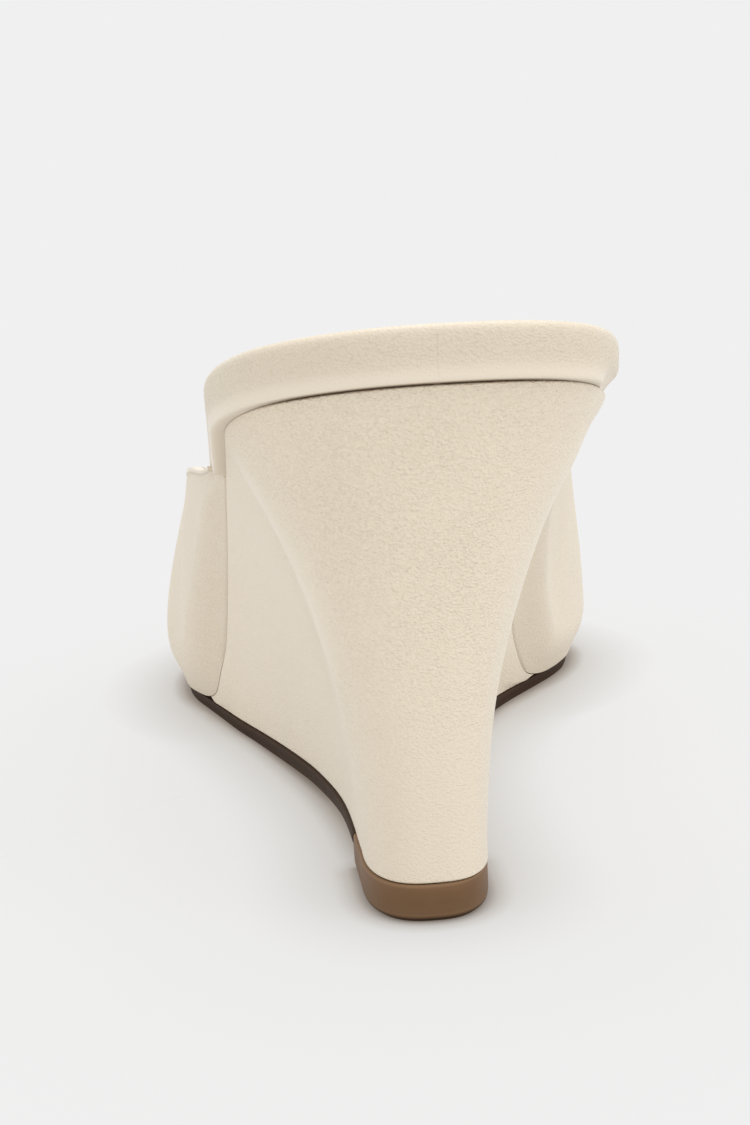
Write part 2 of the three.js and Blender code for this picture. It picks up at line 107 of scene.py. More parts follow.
# Edge of the wrapped footbed, from the seam round to its top.
# out: share of the overhang, up: share of the thickness.
# The last two columns: the painted shade in the seam, and how far the leather is stretched smooth and painted
# lighter as a highlight.
BAND_EDGE = {
    "out": (
        *(0.0, 0.25, 0.5, 0.7, 0.79, 0.83, 0.85, 0.865, 0.88, 0.91),
        *(0.95, 0.98, 1.0, 0.98, 0.93, 0.84, 0.70, 0.52, 0.30),
    ),
    "up": (
        *(0.0, 0.0, 0.0, 0.003, 0.012, 0.03, 0.065, 0.12, 0.2, 0.3),
        *(0.45, 0.6, 0.75, 0.85, 0.905, 0.95, 0.98, 0.995, 1.0),
    ),
    "painted_shade": (1.0, 1.0, 0.6, 0.2, *[0.0] * 15),
    "pulled_and_highlit": (
        *(0.5, 0.7, 0.8, 1.0, 1.0, 1.0, 1.0, 0.95, 0.7, 0.25),
        *(0.0, 0.0, 0.0, 0.2, 0.45, 0.6, 0.5, 0.3, 0.1),
    ),
}

# The soft ridges where the wedge's back turns into its sides. up: share of the wedge's height.
# outer and inner: how far along they run, as shares of the seat's length.
RIDGE = {
    "up": (0.0, 0.2, 0.37, 0.5, 0.65, 0.8, 0.9, 1.0),
    "outer": (0.80, 0.79, 0.75, 0.70, 0.72, 0.85, 0.98, 1.1),
    "inner": (0.74, 0.74, 0.72, 0.66, 0.60, 0.56, 0.52, 0.50),
}

# The seam under the footbed is an open line at the back, darkened with painted shade. SEAM_CLOSES: by place,
# from where to where it closes on each side, and how much of it is left. SEAM_ENDS: from where to where the
# inner side's runs out.
SEAM_CLOSES = {OUTER: (-0.62, -0.3, 0.2), INNER: (-0.95, -0.4, 0.35)}
SEAM_ENDS = (-0.3, 0.2)


class MuleSizes(PropertyGroup):
    """Sizes that shape the mule's looks."""

    shoe_length: FloatProperty(
        name="Length", description="Back of the footbed to the toe of the seam", default=236 * MM, unit="LENGTH"
    )
    heel_height: FloatProperty(
        name="Heel height", description="Floor to the footbed's top", default=INSOLE_BOX[1].z, unit="LENGTH"
    )
    band: FloatProperty(
        name="Band", description="Thickness of the wrapped footbed at the heel", default=7 * MM, unit="LENGTH"
    )
    overhang: FloatProperty(
        name="Overhang", description="Reach of the footbed past the wedge", default=2.4 * MM, unit="LENGTH"
    )
    wall: FloatProperty(
        name="Wall", description="Leather and lining of the upper together", default=1.8 * MM, unit="LENGTH"
    )
    fold: FloatProperty(
        name="Fold", description="Width of the folded edge along the topline", default=1.9 * MM, unit="LENGTH"
    )
    ridge: FloatProperty(
        name="Ridge", description="Height of the wedge's soft ridges", default=0.38 * MM, unit="LENGTH"
    )
    grain: FloatProperty(
        name="Grain", description="Size of one pebble of the leather's grain", default=0.4 * MM, unit="LENGTH"
    )


class MuleColours(PropertyGroup):
    """Colours of the mule and of the studio."""

    leather: FloatVectorProperty(
        name="Leather", description="Outer leather", default=(0.853, 0.748, 0.592), subtype="COLOR"
    )
    lining: FloatVectorProperty(
        name="Lining", description="Lining of the upper", default=(0.76, 0.67, 0.53), subtype="COLOR"
    )
    sole: FloatVectorProperty(
        name="Outsole", description="Dark rubber of the outsole", default=(0.036, 0.018, 0.009), subtype="COLOR"
    )
    tip: FloatVectorProperty(
        name="Heel tip", description="Rubber of the heel tip", default=(0.184, 0.098, 0.0445), subtype="COLOR"
    )
    studio: FloatVectorProperty(
        name="Studio", description="Pale backdrop and floor", default=(0.871, 0.871, 0.871), subtype="COLOR"
    )


def lerp(a, b, t):
    return a + (b - a) * t


def clamp(value, low=0.0, high=1.0):
    return max(low, min(high, value))


def smoothstep(value, low, high):
    t = clamp((value - low) / (high - low))
    return t * t * (3 - 2 * t)


def bump(value, centre, width):
    """A soft bell of height 1."""
    return math.exp(-(((value - centre) / width) ** 2))


def seam_fade(side, place):
    """How open the seam under the footbed is, and how strong the painted shade in it is."""
    start, end, left = SEAM_CLOSES[side]
    fade = lerp(1, left, smoothstep(place, start, end))
    return fade if side == OUTER else fade * (1 - smoothstep(place, *SEAM_ENDS))


def steps(start, end, count):
    return [lerp(start, end, i / count) for i in range(count + 1)]


def curve(table, along, column, position, level_end=False):
    """The smooth curve through one column of a table. A level end leaves room for its mirror image."""
    xs, ys = table[along], table[column]
    last = len(xs) - 1
    i = min(max(bisect.bisect_right(xs, position) - 1, 0), last - 1)

    def slope(j):
        if level_end and j == last:
            return 0
        a, b = max(j - 1, 0), min(j + 1, last)
        return (ys[b] - ys[a]) / (xs[b] - xs[a])

    width = xs[i + 1] - xs[i]
    t = clamp((position - xs[i]) / width)
    ease = (3 - 2 * t) * t * t
    return (
        lerp(ys[i], ys[i + 1], ease)
        + slope(i) * width * t * (1 - t) * (1 - t)
        - slope(i + 1) * width * t * t * (1 - t)
    )


def bezier(points, t):
    """A point on a cubic curve and the direction there."""
    a, b, c, d = points
    s = 1 - t
    point = a * s**3 + b * (3 * s * s * t) + c * (3 * s * t * t) + d * t**3
    direction = (b - a) * (s * s) + (c - b) * (2 * s * t) + (d - c) * (t * t)
    return point, direction.normalized()


class Last:
    """The shape that the mule is built on, from the back of the footbed (y = 0) and the floor (z = 0)."""

    SEAT_HALF = {OUTER: 26.2 * MM, INNER: 24.3 * MM}
    BALL_HALF = {OUTER: 39.5 * MM, INNER: 43.3 * MM}
    COLLAR_HALF = {OUTER: 34.7 * MM, INNER: 39.5 * MM}
    SEAT_SQUARE = {OUTER: 2.1, INNER: 2.7}
    SEAM = {OUTER: "outer", INNER: "inner"}
    GROUND = {OUTER: "ground_outer", INNER: "ground_inner"}
    SEAT_LENGTH = 34 * MM
    TOE_LENGTH = 44 * MM
    TOE_CENTRE = 5 * MM
    TOE_SQUARE = 2.45
    BALL_AT = 165 * MM
    INSOLE_BALL = 4.5 * MM
    OUTSOLE = 2.2 * MM
    OUTSOLE_WAIST = 1.6 * MM
    OUTSOLE_TUCK = 0.5 * MM
    TOE_SPRING = 5 * MM
    FLAT_FROM = 114 * MM
    FLAT_TO = 172 * MM
    TIP_HEIGHT = TIP_BOX[1].z
    TIP_FRONT = 36 * MM
    TIP_BACK = 11.2 * MM
    TIP_ROUND = 15.5 * MM
    TIP_SHIFT = -2.7 * MM
    TIP_HALF = 8.35 * MM
    TIP_SQUARE = 2.6
    TIP_LEDGE = 0.4 * MM
    WAIST_CURVE = 1.5
    UPPER_REAR = 60 * MM
    # How far outside the seam the upper's foot stands, in millimetres, by place
    UPPER_LEDGE = {
        "at": (0.0, 0.16, 0.25, 0.4, 1.0, 1.5, 2.0),
        "outer": (0.36, 0.36, 0.36, 0.36, 0.5, 0.8, 0.8),
        "inner": (1.5, 1.5, 1.2, 0.85, 0.8, 0.8, 0.8),
    }
    THROAT_AT = 165 * MM
    THROAT_HEIGHT = 46.2 * MM
    THROAT_CENTRE = 3 * MM
    CORNER_RISE = 2.2 * MM
    CENTRING_FROM = 0.5
    # The topline dips a little at its rear corners. The dip fades between these two ahead of the upper's rear
    CORNER_DIP = 0.9 * MM
    DIP_FROM = 6 * MM
    DIP_REACH = 38 * MM
    BULGE = 9 * MM
    # How a rib leaves its foot, as shares of the bulge and of the way up to the widest point, and how far
    # below that point it turns upright
    FOOT_OUT = 0.35
    FOOT_UP = 0.4
    WIDEST_DOWN = 0.45
    # How closely a rib fills its corner above the widest point
    FULLNESS = 0.6
    # Share of the ribs that stand along the side, before the toe begins
    SIDE_SHARE = 0.75
    # Where the wall leans over, it is taken to stand at least this upright
    LEAST_UPRIGHT = 0.8
    # The upper's wall is pared to this at its rear and is full this far on
    PARED_WALL = 0.55 * MM
    PARED_REACH = 36 * MM
    WEDGE_END = 138 * MM
    GAP = 0.3 * MM
    PLACE_STEP = 0.004
    TAPER_STEP = 0.02

    def __init__(self, sizes):
        self.sizes = sizes
        self.length = sizes.shoe_length
        self.heel_rise = sizes.heel_height - sizes.band
        self.toe_from = self.length - self.TOE_LENGTH
        self.seam_ground = self.OUTSOLE + self.GAP
        self.rear_place = self.seam_place(self.UPPER_REAR)
        centre_line = OUTSOLE_BOX[1].x - (self.BALL_HALF[INNER] - self.OUTSOLE_TUCK)
        self.origin = Vector((centre_line, INSOLE_BOX[0].y, 0))

    def seam_place(self, y):
        return (y - self.SEAT_LENGTH) / (self.toe_from - self.SEAT_LENGTH)

    def ground_place(self, y):
        straight = self.TIP_BACK + self.TIP_ROUND
        return (y - straight) / (self.toe_from - straight)

    def toe_lift(self, y):
        return self.TOE_SPRING * max(0.0, (y - self.FLAT_TO) / (self.length - self.FLAT_TO)) ** 2

    def seam_height(self, y):
        rise = curve(PROFILE, "at", "rise", clamp(y / self.BALL_AT))
        return lerp(self.seam_ground, self.heel_rise, rise) + self.toe_lift(y)

    def waist(self, y):
        return 1 - clamp((y - self.TIP_FRONT) / (self.FLAT_FROM - self.TIP_FRONT))

    def outsole_top(self, y):
        return lerp(self.OUTSOLE, self.TIP_HEIGHT, self.waist(y)) + self.toe_lift(y)

    def outsole_bottom(self, y):
        return (self.TIP_HEIGHT - self.OUTSOLE_WAIST) * self.waist(y) ** self.WAIST_CURVE + self.toe_lift(y)

    def insole_thickness(self, y):
        return lerp(self.sizes.band, self.INSOLE_BALL, smoothstep(y, self.UPPER_REAR, self.FLAT_FROM))

    def topline_height(self, y):
        corner = self.seam_height(self.UPPER_REAR) + self.CORNER_RISE
        return lerp(corner, self.THROAT_HEIGHT, (y - self.UPPER_REAR) / (self.THROAT_AT - self.UPPER_REAR))

    @staticmethod
    def quarter(share, square):
        """A quarter of a squared ellipse: how far across and how far along, both from 0 to 1."""
        angle = share * math.pi / 2
        return math.sin(angle) ** (2 / square), 1 - max(math.cos(angle), 0) ** (2 / square)

    def side_or_toe(self, side, place, start, column, half):
        def width(at):
            return side * lerp(half, self.BALL_HALF[side], curve(PLAN, "at", column, at))

        if place <= 1:
            return Vector((width(place), lerp(start, self.toe_from, place)))
        along, across = self.quarter(place - 1, self.TOE_SQUARE)
        taper = (width(1) - width(1 - self.TAPER_STEP)) / (self.TAPER_STEP * (self.toe_from - start))
        straight_on = width(1) + taper * self.TOE_LENGTH * along
        return Vector((lerp(straight_on, self.TOE_CENTRE, across), self.toe_from + self.TOE_LENGTH * along))

    def seam(self, side, place):
        """Plan outline of the seam, by place."""
        half = self.SEAT_HALF[side]
        if place <= 0:
            across, along = self.quarter(place + 1, self.SEAT_SQUARE[side])
            return Vector((side * half * across, lerp(self.sizes.overhang, self.SEAT_LENGTH, along)))
        return self.side_or_toe(side, place, self.SEAT_LENGTH, self.SEAM[side], half)

    def ground(self, side, place):
        """Plan outline on the ground, by the same places."""
        straight = self.TIP_BACK + self.TIP_ROUND
        if place <= 0:
            across, along = self.quarter(place + 1, self.TIP_SQUARE)
            y = lerp(self.TIP_BACK + self.TIP_LEDGE, straight, along)
            return Vector((self.TIP_SHIFT + side * self.TIP_HALF * across, y))
        half = self.TIP_HALF + side * self.TIP_SHIFT
        return self.side_or_toe(side, place, straight, self.GROUND[side], half)

    @classmethod
    def outward(cls, outline, side, place):
        ahead, behind = min(place + cls.PLACE_STEP, 2), max(place - cls.PLACE_STEP, -1)
        along = (outline(side, ahead) - outline(side, behind)).normalized()
        return Vector((side * along.y, -side * along.x))

    def pushed(self, outline, side, place, distance):
        return outline(side, place) + self.outward(outline, side, place) * distance

    def rib(self, side, place):
        """One rib of the upper's outside: its level direction out, and its lower and upper curves."""
        along = (place - self.rear_place) / (1 - self.rear_place)
        share = along * self.SIDE_SHARE if place <= 1 else lerp(self.SIDE_SHARE, 1, place - 1)

        def value(column):
            return curve(RIBS, "at", column, share)

        name = self.SEAM[side]
        ledge = curve(self.UPPER_LEDGE, "at", name, place)
        edge = self.pushed(self.seam, side, place, ledge * MM)
        out = self.outward(self.seam, side, place).to_3d()
        reach = lerp(self.UPPER_REAR, self.THROAT_AT, curve(RIBS, "at", "reach", share, level_end=True))
        across = side * self.COLLAR_HALF[side] * value(name)
        across += self.THROAT_CENTRE * smoothstep(share, self.CENTRING_FROM, 1)
        dip_from, dip_to = self.UPPER_REAR + self.DIP_FROM, self.UPPER_REAR + self.DIP_REACH
        dip = self.CORNER_DIP * (1 - smoothstep(reach, dip_from, dip_to))
        top = Vector((across, reach, self.topline_height(reach) - dip))
        foot = Vector((edge.x, edge.y, self.seam_height(edge.y)))
        bulge = self.BULGE * value("swell_" + name)
        lift = (top.z - foot.z) * value("widest_" + name)
        up = Vector((0, 0, 1))
        widest = foot + out * bulge + up * lift
        corner = widest + up * (top.z - widest.z) * value("corner_" + name)
        leaving = foot + out * bulge * self.FOOT_OUT + up * lift * self.FOOT_UP
        lower = (foot, leaving, widest - up * lift * self.WIDEST_DOWN, widest)
        shoulder = (widest, widest.lerp(corner, self.FULLNESS), top.lerp(corner, self.FULLNESS), top)
        return out, lower, shoulder

    def wall_at(self, y):
        """Thickness of the upper's wall, pared thin where it laps over the footbed's edge."""
        full = smoothstep(y, self.UPPER_REAR, self.UPPER_REAR + self.PARED_REACH)
        return lerp(self.PARED_WALL, self.sizes.wall, full)

    def to_row(self, point):
        return point + self.origin


class Piece:
    """A closed skin made of rings of points, each joined to the next."""

    MERGE = 0.002 * MM

    def __init__(self, name, node, slot, *materials):
        self.name, self.node, self.slot, self.materials = name, node, slot, materials
        self.mesh = bmesh.new()

    def rings(self, rings, masks, paint=None):
        """Joins closed rings.

        masks: for each named layer, a list of numbers for each ring.
        paint: a material number for each column of faces.
        """
        layers = {name: self.mesh.verts.layers.float.new(name) for name in masks}
        rows = []
        for i, ring in enumerate(rings):
            row = [self.mesh.verts.new(point) for point in ring]
            for name, layer in layers.items():
                for vert, value in zip(row, masks[name][i]):
                    vert[layer] = value
            rows.append(row)
        count = len(rows[0])
        for a, b in zip(rows, rows[1:]):
            for j in range(count):
                k = (j + 1) % count
                face = self.mesh.faces.new((a[j], b[j], b[k], a[k]))
                face.smooth = True
                face.material_index = paint[j] if paint else 0

    def finish(self, sharp):
        """Makes the object. Edges that turn by more than sharp degrees stay hard."""
        bmesh.ops.remove_doubles(self.mesh, verts=self.mesh.verts, dist=self.MERGE)
        bmesh.ops.recalc_face_normals(self.mesh, faces=self.mesh.faces)
        data = bpy.data.meshes.new(self.name)
        self.mesh.to_mesh(data)
        self.mesh.free()
        for material in self.materials:
            data.materials.append(material)
        data.set_sharp_from_angle(angle=math.radians(sharp))
        piece = bpy.data.objects.new(self.name, data)
        bpy.context.scene.collection.objects.link(piece)
        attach(piece, "root")
        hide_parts(self.node)
        return piece


def pinched(ring):
    """A ring drawn together into one point, which closes the skin's end."""
    centre = sum(ring, Vector((0, 0, 0))) / len(ring)
    return [centre.copy() for _ in ring]


class Socket:
    """A value in a material. Sums on it add Math nodes, so shader maths reads as an expression."""

    def __init__(self, recipe, socket):
        self.recipe, self.socket = recipe, socket

    def maths(self, operation, *values, clamped=False):
        settings = {"operation": operation, "use_clamp": clamped}
        return self.recipe.node("ShaderNodeMath", settings, dict(enumerate(values)))

    def __add__(self, other):
        return self.maths("ADD", self, other)

    def __sub__(self, other):
        return self.maths("SUBTRACT", self, other)

    def __rsub__(self, other):
        return self.maths("SUBTRACT", other, self)

    def __mul__(self, other):
        return self.maths("MULTIPLY", self, other)

    __radd__ = __add__

    def clamped(self):
        return self.maths("ADD", self, 0.0, clamped=True)


class Recipe:
    """A node material and its shader."""

    def __init__(self, name, **constants):
        self.material = bpy.data.materials.new(name)
        self.material.use_nodes = True
        self.tree = self.material.node_tree
        self.shader = self.tree.nodes["Principled BSDF"]
        for socket, value in constants.items():
            self.shader.inputs[socket.replace("_", " ")].default_value = value

    def node(self, kind, settings=None, inputs=None, output=0):
        made = self.tree.nodes.new(kind)
        for name, value in (settings or {}).items():
            setattr(made, name, value)
        for name, value in (inputs or {}).items():
            self.feed(made.inputs[name], value)
        return Socket(self, made.outputs[output])

    def feed(self, socket, value):
        if isinstance(value, Socket):
            self.tree.links.new(value.socket, socket)
        elif isinstance(value, (tuple, list)) and socket.type == "RGBA" and len(value) == 3:
            socket.default_value = (*value, 1)
        else:
            socket.default_value = value

    def feeds(self, **values):
        for name, value in values.items():
            self.feed(self.shader.inputs[name.replace("_", " ")], value)
        return self.material

    def place(self):
        return self.node("ShaderNodeTexCoord", output="Object")

    def noise(self, size, detail=3.0, roughness=0.5, vector=None):
        vector = vector or self.place()
        inputs = {"Vector": vector, "Scale": 1 / size, "Detail": detail, "Roughness": roughness}
        return self.node("ShaderNodeTexNoise", None, inputs)

    def pebbles(self, size, smoothness, vector):
        inputs = {"Vector": vector, "Scale": 1 / size, "Smoothness": smoothness}
        return self.node("ShaderNodeTexVoronoi", {"feature": "SMOOTH_F1"}, inputs)

    def vectors(self, operation, inputs):
        return self.node("ShaderNodeVectorMath", {"operation": operation}, inputs, output="Vector")

    def warped(self, size, amount):
        """Object coordinates pushed about by a soft noise."""
        inputs = {"Vector": self.place(), "Scale": 1 / size}
        push = self.node("ShaderNodeTexNoise", None, inputs, output="Color")
        scaled = self.vectors("SCALE", {0: push, "Scale": amount})
        return self.vectors("ADD", {0: self.place(), 1: scaled})

    def mix(self, factor, a, b, blend="MIX"):
        """From one colour to another."""
        settings = {"data_type": "RGBA", "clamp_factor": True, "blend_type": blend}
        return self.node("ShaderNodeMix", settings, {"Factor": factor, 6: a, 7: b}, output=2)

    def mask(self, name):
        return self.node("ShaderNodeAttribute", {"attribute_name": name}, output="Fac")

    def relief(self, height, depth):
        return self.node("ShaderNodeBump", None, {"Height": height, "Distance": depth, "Strength": 1.0})


def tinted(colour, factor):
    return tuple(clamp(c * f) for c, f in zip(colour, factor))


class Grain:
    """The leather's grain. Sizes without a unit are in pebbles, the tints multiply the leather's colour."""

    WARP_SIZE = 3
    WARP_PUSH = 0.9
    SQUASH = (1.0, 1.0, 1.3)
    SMOOTHNESS = 0.6
    FINE = 0.5
    PATCH = 22
    BROAD = 34 * MM
    DEPTH = 0.15 * MM
    # How much of the grain is gone where the leather is pulled tight
    FLATTENED = 0.75
    LIGHT = (1.04, 1.045, 1.06)
    DARK = (0.92, 0.895, 0.85)
    # Tints of the painted highlight where the leather is stretched tight, and of the painted shade in seams and
    # at joins
    PULLED_HIGHLIGHT = (1.05, 1.06, 1.085)
    PAINTED_SHADE = (0.3, 0.225, 0.15)


def leather(name, colour, grain, depth, shade):
    """Satin cream leather: a fine crinkled grain, soft mottling, smooth and painted lighter where stretched
    tight, painted shade in seams.

    depth: how deep its grain is, shade: how much lighter or darker this piece's copy of the leather is painted,
    for the light that falls on it.
    """
    recipe = Recipe(name, Specular_IOR_Level=0.45, Coat_Roughness=0.35, Sheen_Weight=0.12, Sheen_Roughness=0.4)
    warp = recipe.warped(grain * Grain.WARP_SIZE, grain * Grain.WARP_PUSH)
    flat = recipe.vectors("MULTIPLY", {0: warp, 1: Grain.SQUASH})
    cells = recipe.pebbles(grain, Grain.SMOOTHNESS, flat)
    fine = recipe.noise(grain * Grain.FINE, detail=2.0, vector=flat)
    patches = recipe.noise(grain * Grain.PATCH, detail=2.0)
    broad = recipe.noise(Grain.BROAD, detail=2.0)
    pulled_and_highlit = recipe.mask("pulled_and_highlit")
    tight = 1 - pulled_and_highlit * Grain.FLATTENED
    height = ((1 - cells) * (0.8 + patches * 0.4) + fine * 0.4) * tight
    valleys = (cells * 1.6 - 0.4).clamped() * tight
    tone = (valleys * 0.6 + patches * 0.14 + broad * 0.3 - 0.045).clamped()
    light, dark = tinted(colour, Grain.LIGHT), tinted(colour, Grain.DARK)
    # The whole piece painted lighter or darker by shade, for the light it gets
    base = recipe.mix(tone, tinted(light, (shade,) * 3), tinted(dark, (shade,) * 3))
    # Painted highlight: where the leather is stretched smooth it is also painted lighter and cooler
    base = recipe.mix(pulled_and_highlit * 0.8, base, tinted(colour, Grain.PULLED_HIGHLIGHT))
    # Painted shade in seams, along edges and at joins, broken up by the fine noise
    painted_shade = (recipe.mask("painted_shade") * (0.7 + fine * 0.6)).clamped()
    base = recipe.mix(painted_shade, base, tinted(colour, Grain.PAINTED_SHADE))
    return recipe.feeds(
        Base_Color=base,
        Roughness=0.38 + valleys * 0.16 + (1 - patches) * 0.08 - pulled_and_highlit * 0.06,
        Coat_Weight=0.08 + pulled_and_highlit * 0.1,
        Normal=recipe.relief(height, Grain.DEPTH * depth),
    )


def lining(name, colour, grain):
    """Smooth lining leather with tiny pores."""
    recipe = Recipe(name, Specular_IOR_Level=0.35)
    pores = recipe.noise(grain * 0.6, detail=3.0)
    broad = recipe.noise(26 * MM, detail=3.0)
    base = recipe.mix(broad, tinted(colour, (1.03, 1.03, 1.03)), tinted(colour, (0.95, 0.93, 0.90)))
    return recipe.feeds(Base_Color=base, Roughness=0.55 + pores * 0.1, Normal=recipe.relief(pores, 0.03 * MM))


def rubber(name, colour, edge_highlight, roughness, gloss):
    """Moulded rubber: fine dust, a painted highlight along its edges, and painted shade where it meets the
    floor.
    """
    recipe = Recipe(name, Specular_IOR_Level=gloss)
    dust = recipe.noise(0.5 * MM, detail=4.0, roughness=0.6)
    cloud = recipe.noise(6 * MM, detail=3.0)
    edge = recipe.mask("edge")
    base = recipe.mix(cloud, tinted(colour, (1.12, 1.12, 1.12)), tinted(colour, (0.86, 0.86, 0.86)))
    # Painted highlight along the rounded edges
    base = recipe.mix((edge * (0.7 + dust * 0.5)).clamped(), base, edge_highlight)
    # Painted shade along the bottom, where it meets the floor
    base = recipe.mix(recipe.mask("painted_shade"), base, tinted(colour, (0.2, 0.2, 0.2)))
    rough = roughness + dust * 0.14 + edge * 0.06
    return recipe.feeds(Base_Color=base, Roughness=rough, Normal=recipe.relief(dust, 0.02 * MM))


class Slab:
    """A flat rubber piece whose edge follows EDGE: rows of how far out, in millimetres, and what share up."""

    def ring(self, last, place):
        """One closed ring: both edges, joined straight across above and below."""
        outer, inner = (
            [self.point(last, side, place, out, up) for out, up in self.EDGE] for side in (OUTER, INNER)
        )
        shares = steps(0, 1, self.ACROSS)[1:-1]
        top = [outer[-1].lerp(inner[-1], share) for share in shares]
        bottom = [inner[0].lerp(outer[0], share) for share in shares]
        return [last.to_row(point) for point in outer + top + inner[::-1] + bottom]

    def build(self, rings, name, node, colour):
        """Makes the piece. MASKS gives the strength of each mask by the share up, alike on every ring."""
        flat = [0] * (self.ACROSS - 1)
        masks = {}
        for mask, strength in self.MASKS.items():
            edge = [strength(up) for _, up in self.EDGE]
            masks[mask] = [edge + flat + edge[::-1] + flat] * len(rings)
        skin = Piece(name, node, name, rubber(name, colour, self.EDGE_HIGHLIGHT, self.ROUGHNESS, self.GLOSS))
        skin.rings(rings, masks)
        skin.finish(sharp=35)


class MULE_OT_footbed(Operator):
    """Adds the footbed, wrapped in leather, with its rounded band round the heel"""

    bl_idname = "mule.footbed"
    bl_label = "Footbed"

    BACK_PLACES, SIDE_PLACES, INNER_PLACES, TOE_PLACES = 56, 14, 70, 36
    ACROSS = 22
    SEAT_DISH = 0.9 * MM
    DISH_CURVE = 1.3
    # Over this stretch ahead of the upper's rear the edge turns from its overhang to the inside of the wall
    JOIN_FROM = 4 * MM
    JOIN_TO = 50 * MM
    WALL_GAP = 0.12 * MM
    TOP_ROUND = 1.6 * MM
    # How many halvings find a height on a curve
    HALVINGS = 18
    # Depth of the grain, and how much darker this piece's copy of the leather is painted, as painted shade
    GRAIN_DEPTH, SHADE = 0.95, 0.93
    # How far the band's lower edge is tucked in at the inner corner, as a share of its overhang, and how high
    CORNER = {
        "at": (-0.5, -0.42, -0.32, -0.2, -0.12, -0.05, 0.0, 0.06, 0.12),
        "tucked": (0.0, 0.2, 0.9, 1.0, 0.95, 0.75, 0.5, 0.22, 0.0),
        "level": (0.08, 0.08, 0.09, 0.11, 0.18, 0.24, 0.26, 0.26, 0.26),
    }
    TUCK_ROUND = 0.26

    def edge_point(self, last, side, place, out_share, up_share):
        """A point of the band's edge, held inside the upper's wall where there is one."""
        if side == INNER and self.CORNER["at"][0] < place < self.CORNER["at"][-1]:
            level = curve(self.CORNER, "at", "level", place)
            tucked = curve(self.CORNER, "at", "tucked", place)
            out_share *= 1 - tucked * (1 - smoothstep(up_share, level, level + self.TUCK_ROUND))
        band_out = last.sizes.overhang * out_share
        plan = last.pushed(last.seam, side, place, band_out)
        thickness = last.insole_thickness(plan.y)
        height = last.seam_height(plan.y) + up_share * thickness
        free = Vector((plan.x, plan.y, height))
        if place < last.rear_place:
            return free
        out, lower, shoulder = last.rib(side, place)
        seam = last.seam(side, place).to_3d()
        room = self.room(out, lower, shoulder, seam, height, last.wall_at(plan.y))
        if room is None:
            return free
        inside = smoothstep(plan.y, last.UPPER_REAR + self.JOIN_FROM, last.UPPER_REAR + self.JOIN_TO)
        rounding = (1 - out_share) * self.TOP_ROUND if up_share > 0.5 else 0
        reach = min(lerp(band_out, room - rounding, inside), room)
        plan = last.pushed(last.seam, side, place, reach)
        return Vector((plan.x, plan.y, last.seam_height(plan.y) + up_share * thickness))

    def room(self, out, lower, shoulder, seam, height, wall):
        """How far out from the seam the upper's inside lies at a height."""
        if height > shoulder[3].z:
            return None
        curve_points = lower if height < shoulder[0].z else shoulder
        low, high = 0.0, 1.0
        for _ in range(self.HALVINGS):
            middle = (low + high) / 2
            if bezier(curve_points, middle)[0].z < height:
                low = middle
            else:
                high = middle
        point, direction = bezier(curve_points, low)
        upright = max(direction.z, Last.LEAST_UPRIGHT)
        return (point - seam).dot(out) - wall / upright - self.WALL_GAP

    def ring(self, last, place):
        shares = list(zip(BAND_EDGE["out"], BAND_EDGE["up"]))
        outer, inner = (
            [self.edge_point(last, side, place, *share) for share in shares] for side in (OUTER, INNER)
        )
        top = self.across(last, outer[-1], inner[-1], self.SEAT_DISH)
        bottom = self.across(last, inner[0], outer[0], 0)
        return [last.to_row(p) for p in outer + top + inner[::-1] + bottom]

    def across(self, last, start, end, dish):
        """Points between the two edges, dished along the middle."""
        points = []
        half = (end - start).length / (2 * last.SEAT_HALF[OUTER])
        for share in steps(0, 1, self.ACROSS)[1:-1]:
            point = start.lerp(end, share)
            point.z -= dish * min(half, 1) * (4 * share * (1 - share)) ** self.DISH_CURVE
            points.append(point)
        return points

    def execute(self, context):
        sizes, colours = context.scene.mule_sizes, context.scene.mule_colours
        last = Last(sizes)
        rear = last.rear_place
        places = [
            *steps(-1, 0, self.BACK_PLACES),
            *steps(0, rear, self.SIDE_PLACES)[1:],
            *steps(rear, 1, self.INNER_PLACES)[1:],
            *steps(1, 2, self.TOE_PLACES)[1:],
        ]
        rings = [self.ring(last, place) for place in places]
        # Painted shade in the seam, fading as the seam closes, and the painted highlight where the band is
        # stretched smooth
        painted_shade, pulled_and_highlit = BAND_EDGE["painted_shade"], BAND_EDGE["pulled_and_highlit"]
        masks = {
            "painted_shade": [self.around(painted_shade, seam_fade(OUTER, place), seam_fade(INNER, place)) for place in places],
            "pulled_and_highlit": [self.around(pulled_and_highlit, 1, 1) for _ in places],
        }
        material = leather("footbed_leather", colours.leather, sizes.grain, self.GRAIN_DEPTH, self.SHADE)
        skin = Piece("footbed", "insole", "insole_leather", material)
        skin.rings([*rings, pinched(rings[-1])], {name: [*rows, rows[-1]] for name, rows in masks.items()})
        piece = skin.finish(sharp=60)
        return {"FINISHED"}

    def around(self, values, outer, inner):
        """One ring's mask from the edge's, with its strength on each side."""
        flat = [0] * (self.ACROSS - 1)
        return [v * outer for v in values] + flat + [v * inner for v in values[::-1]] + flat


